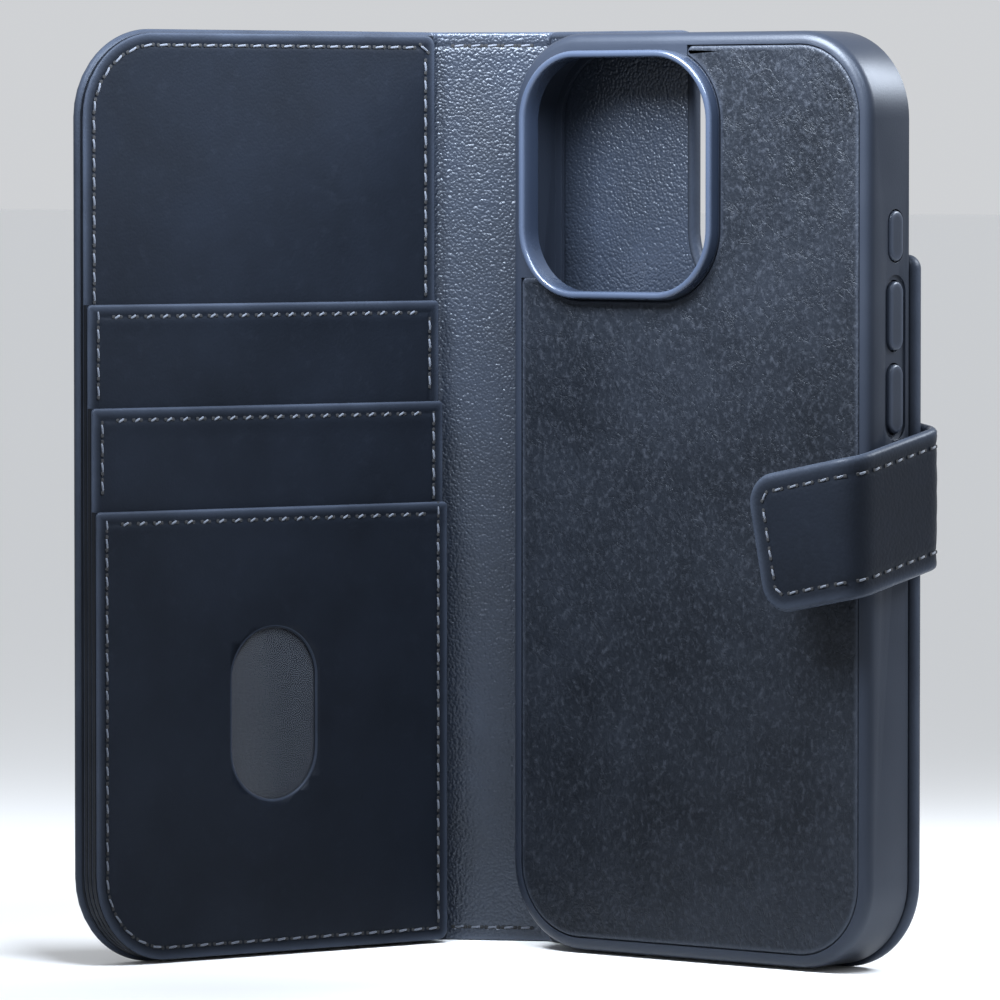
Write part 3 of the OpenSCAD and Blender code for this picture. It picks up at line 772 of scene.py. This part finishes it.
def on_plane(space, place, along, height):
    """Places, unit tangents and unit normals in the frame, for a row of stitches laid out in (a, b)."""
    where = space(place[:, 0], place[:, 1], height)
    ahead = space(place[:, 0] + along[:, 0] * 0.1, place[:, 1] + along[:, 1] * 0.1, height)
    above = space(place[:, 0], place[:, 1], height + 0.1)
    return where, unit(ahead - where), unit(above - where)


top_down = ("slot_panel_3", "slot_panel_2", "slot_panel_1", "pocket_base_panel")
hem_tops = [panel_tops[panel] for panel in top_down[:3]]
surface_levels = [LEVELS[panel][1] for panel in top_down]
border = trace(round_box(PANEL_NEAR, PANEL_FAR, PANEL_LOW, panel_tops["pocket_base_panel"],
                         (SEAM_CORNER, PANEL_CORNER, PANEL_CORNER, SEAM_CORNER)))
border_place, border_along = spaced(border[0] + STITCH_INSET * border[1], THREAD_PITCH, closed=True)
clear = np.min([np.abs(border_place[:, 1] - t) for t in hem_tops], axis=0) > 1.4
border_place, border_along = border_place[clear], border_along[clear]
below_top = [border_place[:, 1] < t for t in hem_tops]
border_height = np.select(below_top, surface_levels[:3], surface_levels[3]) + 0.1
where, tangent, out = on_plane(front_space, border_place, border_along, border_height)
sew("border_stitches", where, tangent, out, "front_cover")

for panel in ("slot_panel_1", "slot_panel_2", "slot_panel_3"):
    level = LEVELS[panel][1]
    row_z = panel_tops[panel] - STITCH_INSET
    line = np.array([(PANEL_NEAR + ROW_END, row_z), (PANEL_FAR - ROW_END, row_z)])
    place, along = spaced(line, THREAD_PITCH)
    across = 1 - (2 * (place[:, 0] - PANEL_NEAR) / panel_width - 1) ** 2
    where, tangent, out = on_plane(front_space, place, along, level + 0.12 + HEM_LIFT * across)
    sew(panel + "_stitches", where, tangent, out, "front_cover", lean=0.5, length=1.5)

for row_name, row_z in (("spine_hem_low", HEM_STITCH), ("spine_hem_high", cover_top - HEM_STITCH)):
    line = np.array([(SPINE_TUCK + 2.5, row_z), (spine_length - SPINE_TUCK - 2.5, row_z)])
    place, along = spaced(line, THREAD_PITCH)
    for face, level, way in (("inside", SPINE_INNER - 0.05, 1), ("outside", -SPINE_OUTER, -1)):
        where, tangent, out = on_plane(spine_space, place, along, np.full(len(place), level))
        sew(row_name + "_" + face, where, tangent, way * out, "spine")

rear_points, rear_normals = rear_outline()
anchor_low, anchor_high = box_mm("strap_anchor")
place, along = spaced(rear_points + REAR_STITCH * rear_normals, THREAD_PITCH, closed=True)
from_strap = np.abs(place[:, 1] - (anchor_low[2] + anchor_high[2]) / 2)
under_strap = (place[:, 0] > anchor_low[0] - 1) & (from_strap < STRAP_COVERS)
place, along = place[~under_strap], along[~under_strap]
where, tangent, out = on_plane(rear_space, place, along, np.zeros(len(place)))
sew("rear_seam", where, tangent, -out, "rear_cover")

front_edge = trace(round_box(FRONT_NEAR, FRONT_REACH, 0, cover_top,
                             (SEAM_CORNER, COVER_CORNER, COVER_CORNER, SEAM_CORNER)))
place, along = spaced(front_edge[0] + STITCH_INSET * front_edge[1], THREAD_PITCH, closed=True)
where, tangent, out = on_plane(front_space, place, along, np.zeros(len(place)))
sew("front_seam", where, tangent, -out, "front_cover")

# ---- Strap ----
# A slanted leather band, folded over a lining and sewn along its edge. It is fixed to the rear cover's
# outside, wraps the shell's side, and ends in a tab that holds a magnet. It bends at two soft folds.
# A curved right-angled bend is shorter than its corner, by BEND_SAVING of its reach on each side.

STRAP_WIDTH = 24.8
STRAP_SLANT = math.radians(11)
STRAP_ROUND = 5.5
STRAP_HALF = 0.85
REAR_BEND = 2.6
TAB_BEND = 4.8
ANCHOR_LENGTH = 24.0
TAB_LENGTH = 21.0
STRAP_STITCH = 3.2
STRAP_TAIL = 40
BEND_SAVING = 0.19

# The strap's third colour is its edge colour: wear plus a painted highlight.
strap_leather = leather("strap_leather", NAVY_DARK, NAVY_LIGHT, (0.036, 0.045, 0.064, 1),
                        1500.0, 55.0, (0.36, 0.48), 0.00006, 0.02, shine=0.09)
swing_axis, tab_axis = joint_place("strap_swing"), joint_place("strap_tab_fold")
tail = np.array([STRAP_TAIL, 0])
strap_line = bent_line([swing_axis - tail, swing_axis, tab_axis, tab_axis - tail], (REAR_BEND, TAB_BEND))
swing_fold = STRAP_TAIL - REAR_BEND * BEND_SAVING
tab_fold = distances_along(strap_line)[-1] - STRAP_TAIL + TAB_BEND * BEND_SAVING
arm_low, _ = box_mm("strap_arm")
strap_level = arm_low[2] + STRAP_WIDTH / 2 / math.cos(STRAP_SLANT)
arm_run = (tab_fold - swing_fold) / math.cos(STRAP_SLANT)
band_length = ANCHOR_LENGTH + arm_run + TAB_LENGTH


def strap_space(a, b, outwards):
    """The flat band, turned by its slant, is wrapped along the bent line. In the flat, s = a cos + b sin
    and z falls by a sin, where a runs from the sewn end to the tab's end and b across the band."""
    run, side = a - (ANCHOR_LENGTH + arm_run), b - STRAP_WIDTH / 2
    s = tab_fold + run * math.cos(STRAP_SLANT) + side * math.sin(STRAP_SLANT)
    z = strap_level - run * math.sin(STRAP_SLANT) + side * math.cos(STRAP_SLANT)
    place, left = along_line(strap_line, s)
    return np.concatenate([place + outwards[..., None] * left, z[..., None]], -1)


def strap_relief(a, b, distance):
    """A rolled border, a sewn channel inside it, and a slight crown."""
    roll_up = 0.12 * np.exp(-((distance - 1.1) / 0.8) ** 2)
    channel = -0.14 * np.exp(-((distance - STRAP_STITCH) / 0.42) ** 2)
    crown = 0.14 * np.clip(distance / 9, 0, 1)
    return roll_up + channel + crown


band_outline = trace(round_box(0, band_length, 0, STRAP_WIDTH, (STRAP_ROUND,) * 4))
seam_place, seam_along = spaced(band_outline[0] + STRAP_STITCH * band_outline[1], THREAD_PITCH, closed=True)
strap_split = (ANCHOR_LENGTH + arm_run / 2) / band_length
for piece_name, part, pair, axis, way_in, way_out, nodes in (
        ("strap_rear", (0, strap_split), ("rear_cover", "strap_arm"),
         swing_axis, (-REAR_BEND, 0), (0, -REAR_BEND),
         ("strap_anchor", "strap_arm", "strap_arm_lining")),
        ("strap_front", (strap_split, 1), ("strap_arm", "strap_tab"),
         tab_axis, (0, TAB_BEND), (-TAB_BEND, 0),
         ("strap_tab", "strap_tab_lining", "strap_magnet"))):
    band = slab(piece_name, band_length, STRAP_WIDTH, (STRAP_ROUND,) * 4, strap_space, -STRAP_HALF,
                STRAP_HALF - 0.1, 0.8, [strap_leather, pebbled_lining], part=part, patches=(1, 0),
                relief=strap_relief, coarse=0.9, wear_and_highlight_reach=1.3)
    chosen = (seam_place[:, 0] > part[0] * band_length) & (seam_place[:, 0] < part[1] * band_length)
    where, tangent, out = on_plane(strap_space, seam_place[chosen], seam_along[chosen],
                                   np.full(chosen.sum(), STRAP_HALF - 0.08))
    for made in (band, *sew(piece_name + "_stitches", where, tangent, out, length=1.7)):
        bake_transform(made)
    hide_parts(*nodes)

# ---- Phone shell ----
# A moulded shell in matte navy plastic with a soft touch. A leather inlay lies in a pocket in its back,
# and a glossy ring stands up around the camera opening.

INLAY_INSET = 2.5
INLAY_GAP = 0.3
RING_WALL = 1.4
RING_CORNER = 12.9
SHELL_CORNER = 15.6
INLAY_STEP_UP = 4.1
INLAY_STEP_IN = 7.4
INLAY_STEP_ROUND = 1.2
EDGE_SOFTENING = 0.18
# Plastic edge colour: wear plus a painted highlight on rims and crests.
PLASTIC_WORN_AND_LIT = (0.044, 0.055, 0.080, 1)


def plastic(name, dark, light, worn_and_lit, rough, bump, coat=0.0):
    """Moulded plastic with a faint spark-eroded texture and slow changes of gloss."""
    made, tree, shader = new_material(name)
    where = node(tree, "TexCoord").outputs["Object"]
    slow = node(tree, "TexNoise", {"Vector": where, "Scale": 55.0, "Detail": 5.0})
    fine = node(tree, "TexNoise", {"Vector": where, "Scale": 3200.0, "Detail": 1.0})
    # The edge mask paints rims lighter: wear plus a painted highlight.
    wear_and_highlight = node(tree, "Attribute", attribute_name="wear_and_highlight").outputs["Fac"]
    body = blend_colour(tree, slow.outputs["Fac"], dark, light)
    tree.links.new(blend_colour(tree, math_node(tree, "MULTIPLY", wear_and_highlight, 0.55), body, worn_and_lit),
                   shader.inputs["Base Color"])
    gloss = node(tree, "MapRange", {"Value": slow.outputs["Fac"], "From Min": 0.3, "From Max": 0.7,
                                    "To Min": rough[0], "To Max": rough[1]})
    tree.links.new(gloss.outputs[0], shader.inputs["Roughness"])
    relief = node(tree, "Bump", {"Height": fine.outputs["Fac"], "Strength": 0.35, "Distance": bump})
    tree.links.new(relief.outputs[0], shader.inputs["Normal"])
    shader.inputs["Specular IOR Level"].default_value = 0.24
    shader.inputs["Specular Tint"].default_value = BLUE_TINT
    shader.inputs["Coat Weight"].default_value = coat
    shader.inputs["Coat Roughness"].default_value = 0.12
    return made


shell_plastic = plastic("shell_plastic", (0.0095, 0.0125, 0.0195, 1), (0.0135, 0.0175, 0.027, 1),
                        PLASTIC_WORN_AND_LIT, (0.36, 0.48), 0.00004)
ring_plastic = plastic("ring_plastic", (0.0095, 0.0140, 0.0250, 1), (0.0140, 0.0200, 0.0350, 1),
                       (0.044, 0.058, 0.090, 1), (0.2, 0.3), 0.00001, 0.3)

# The CAD's loose triangles are merged, its flat areas joined, and its edges softened.
shell_mesh = frame["nodes"]["shell_frame"].data.copy()
shell_mesh.materials.clear()
work = bmesh.new()
work.from_mesh(shell_mesh)
bmesh.ops.remove_doubles(work, verts=work.verts, dist=2e-6)
bmesh.ops.dissolve_limit(work, angle_limit=math.radians(0.6), verts=work.verts, edges=work.edges)
work.to_mesh(shell_mesh)
work.free()
shell = add_object("shell_body", shell_mesh, [shell_plastic], 42)
soft = shell.modifiers.new("soft_edges", "BEVEL")
soft.width = EDGE_SOFTENING * MM
soft.segments = 2
soft.limit_method = "ANGLE"
soft.angle_limit = math.radians(48)
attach(shell, "phone_shell")
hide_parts("shell_frame")

microfibre = leather("microfibre", (0.02, 0.026, 0.04, 1), (0.035, 0.044, 0.064, 1), (0.06, 0.075, 0.1, 1),
                     4200.0, 120.0, (0.8, 0.95), 0.00008)
dress("shell_liner", microfibre)


def shell_space(x, z, outwards):
    """Outwards is measured from the shell's back face, towards -Y."""
    return np.stack([x, shell_low[1] - outwards, z], -1)


def build_inlay_leather():
    """Waxed pull-up leather: a cloudy tone, slanting creases that are pale along their ridges, and darker
    wrinkles at 1 - 26 |noise - 0.5|."""
    made, tree, shader = new_material("inlay_leather")
    grain = node(tree, "Group", node_tree=hide_grain)
    grain.inputs["Cells"].default_value = 1300.0
    grain.inputs["Blotches"].default_value = 48.0
    where = node(tree, "TexCoord").outputs["Object"]
    slanted = node(tree, "Mapping", {"Vector": where, "Rotation": (0, 0.75, 0), "Scale": (1.0, 1.0, 0.8)})
    creases = node(tree, "TexNoise", {"Vector": slanted.outputs[0], "Scale": 900.0, "Detail": 5.0,
                                      "Roughness": 0.75, "Distortion": 0.2})
    wrinkles = node(tree, "TexNoise", {"Vector": slanted.outputs[0], "Scale": 260.0, "Detail": 5.0,
                                       "Roughness": 0.62, "Distortion": 0.5})
    from_half = math_node(tree, "ABSOLUTE", math_node(tree, "SUBTRACT", wrinkles.outputs["Fac"], 0.5))
    folds = math_node(tree, "SUBTRACT", 1.0, math_node(tree, "MULTIPLY", from_half, 26.0, clamp=True))
    ridges = node(tree, "MapRange", {"Value": creases.outputs["Fac"], "From Min": 0.5, "From Max": 0.7})
    colour = blend_colour(tree, grain.outputs["Tone"], (0.0028, 0.0037, 0.0055, 1), (0.008, 0.01, 0.0142, 1))
    # The edge mask paints the inlay's rolled rim lighter: wear plus a painted highlight.
    wear_and_highlight = node(tree, "Attribute", attribute_name="wear_and_highlight").outputs["Fac"]
    for mask, share, over in ((ridges.outputs[0], 0.5, (0.030, 0.035, 0.046, 1)),
                              (folds, 0.35, (0.003, 0.004, 0.006, 1)),
                              (wear_and_highlight, 0.4, (0.04, 0.048, 0.066, 1))):
        colour = blend_colour(tree, math_node(tree, "MULTIPLY", mask, share), colour, over)
    tree.links.new(colour, shader.inputs["Base Color"])
    rough = node(tree, "MapRange", {"Value": ridges.outputs[0], "To Min": 0.36, "To Max": 0.56})
    tree.links.new(rough.outputs[0], shader.inputs["Roughness"])
    fold_depth = math_node(tree, "MULTIPLY", folds, 0.32)
    crease_height = math_node(tree, "SUBTRACT", creases.outputs["Fac"], fold_depth)
    height = math_node(tree, "ADD", math_node(tree, "MULTIPLY", grain.outputs["Height"], 0.4), crease_height)
    relief = node(tree, "Bump", {"Height": height, "Strength": 0.7, "Distance": 0.00016})
    tree.links.new(relief.outputs[0], shader.inputs["Normal"])
    shader.inputs["Specular IOR Level"].default_value = 0.2
    shader.inputs["Specular Tint"].default_value = BLUE_TINT
    return made


inlay_box_low, inlay_box_high = box_mm("leather_inlay")


def inlay_outline():
    """The inlay's outline: the shell's own shape, less the corner that the camera ring stands in."""
    left, right, low, high = inlay_box_low[0], inlay_box_high[0], inlay_box_low[2], inlay_box_high[2]
    corner = SHELL_CORNER - INLAY_INSET
    reach = RING_CORNER + INLAY_GAP
    ring_right, ring_base = ring_high[0] + INLAY_GAP, ring_low[2] - INLAY_GAP
    hub_low_left = np.array([ring_low[0] - INLAY_GAP + reach, ring_base + reach])
    hub_low_right = np.array([ring_right - reach, ring_base + reach])
    hub_high_right = np.array([ring_right - reach, ring_high[2] + INLAY_GAP - reach])
    step_z = ring_base + INLAY_STEP_UP
    step_x = ring_right - INLAY_STEP_IN
    small = INLAY_STEP_ROUND
    low_angle = math.degrees(math.asin((step_z - hub_low_left[1]) / reach))
    step_end = hub_low_left[0] - reach * math.cos(math.radians(low_angle))
    high_angle = math.degrees(math.acos((step_x - hub_high_right[0]) / reach))
    step_high = hub_high_right[1] + reach * math.sin(math.radians(high_angle))
    return trace([("arc", (left + corner, low + corner), corner, 180, 270),
                  ("line", (left + corner, low), (right - corner, low)),
                  ("arc", (right - corner, low + corner), corner, -90, 0),
                  ("line", (right, low + corner), (right, high - corner)),
                  ("arc", (right - corner, high - corner), corner, 0, 90),
                  ("line", (right - corner, high), (step_x + small, high)),
                  ("arc", (step_x + small, high - small), small, 90, 180),
                  ("line", (step_x, high - small), (step_x, step_high)),
                  ("arc", tuple(hub_high_right), reach, high_angle, 0),
                  ("line", (ring_right, hub_high_right[1]), (ring_right, hub_low_right[1])),
                  ("arc", tuple(hub_low_right), reach, 0, -90),
                  ("line", (hub_low_right[0], ring_base), (hub_low_left[0], ring_base)),
                  ("arc", tuple(hub_low_left), reach, -90, -180 - low_angle),
                  ("line", (step_end, step_z), (left + small, step_z)),
                  ("arc", (left + small, step_z - small), small, 90, 180),
                  ("line", (left, step_z - small), (left, low + corner))])


inlay_profile = [(1.0, -0.7, 0), (0.0, -0.7, 0), (0.0, -0.25, 0.6), (0.1, -0.08, 1), (0.28, 0.0, 0.9),
                 (0.6, 0.03, 0.4), (1.0, 0.03, 0)]
inlay = carried("leather_back", inlay_outline(), inlay_profile, shell_space, [build_inlay_leather()])
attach(inlay, "phone_shell")
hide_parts("leather_inlay", "steel_plate")

ring_rise = shell_low[1] - ring_low[1]
# The third column paints the ring's crest lighter: wear plus a painted highlight.
ring_profile = [(0.0, -1.9, 0), (0.0, 0.0, 0.1), (0.02, ring_rise - 0.7, 0.4), (0.12, ring_rise - 0.28, 0.9),
                (0.34, ring_rise - 0.06, 1), (0.7, ring_rise, 0.8), (1.06, ring_rise - 0.06, 1),
                (1.28, ring_rise - 0.28, 0.9), (RING_WALL, ring_rise - 0.7, 0.4), (RING_WALL, 0.0, 0.1),
                (RING_WALL, -1.9, 0)]
ring_box = round_box(ring_low[0], ring_high[0], ring_low[2], ring_high[2], (RING_CORNER,) * 4)
ring = carried("camera_ring_gloss", trace(ring_box, step=3), ring_profile, shell_space, [ring_plastic],
               closed=True)
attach(ring, "phone_shell")
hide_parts("camera_ring")

# ---- Buttons ----
# Four caps moulded in the shell's plastic stand in round-ended holes. Each has a soft crown, painted a
# little paler along its rim as wear plus a painted highlight.

BUTTON_EDGE = 0.45
BUTTON_MARGIN = 0.6

button_plastic = plastic("button_plastic", (0.0105, 0.0138, 0.0215, 1), (0.0145, 0.0190, 0.0295, 1),
                         PLASTIC_WORN_AND_LIT, (0.32, 0.42), 0.00003, 0.05)
for button in ("action_button", "volume_up_button", "volume_down_button", "power_button"):
    low, high = box_mm(button)
    outer_x, way = (high[0], 1) if button != "power_button" else (low[0], -1)
    reach_in = high[0] - low[0]
    radius = (high[1] - low[1]) / 2 - BUTTON_MARGIN
    middle_y = (low[1] + high[1]) / 2
    cap_box = round_box(middle_y - radius, middle_y + radius, low[2] + BUTTON_MARGIN, high[2] - BUTTON_MARGIN,
                        (radius,) * 4)
    cap_profile = [(1.0, -reach_in, 0), (0, -reach_in, 0), (0, -BUTTON_EDGE, 0.3), (0.07, -0.2, 0.9),
                   (0.22, -0.06, 1), (0.5, 0.0, 0.6), (1.1, 0.0, 0)]
    made = carried(button + "_cap", trace(cap_box, step=0.8), cap_profile,
                   lambda y, z, out: np.stack([outer_x + way * out, y, z], -1), [button_plastic])
    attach(made, button)
    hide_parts(button)
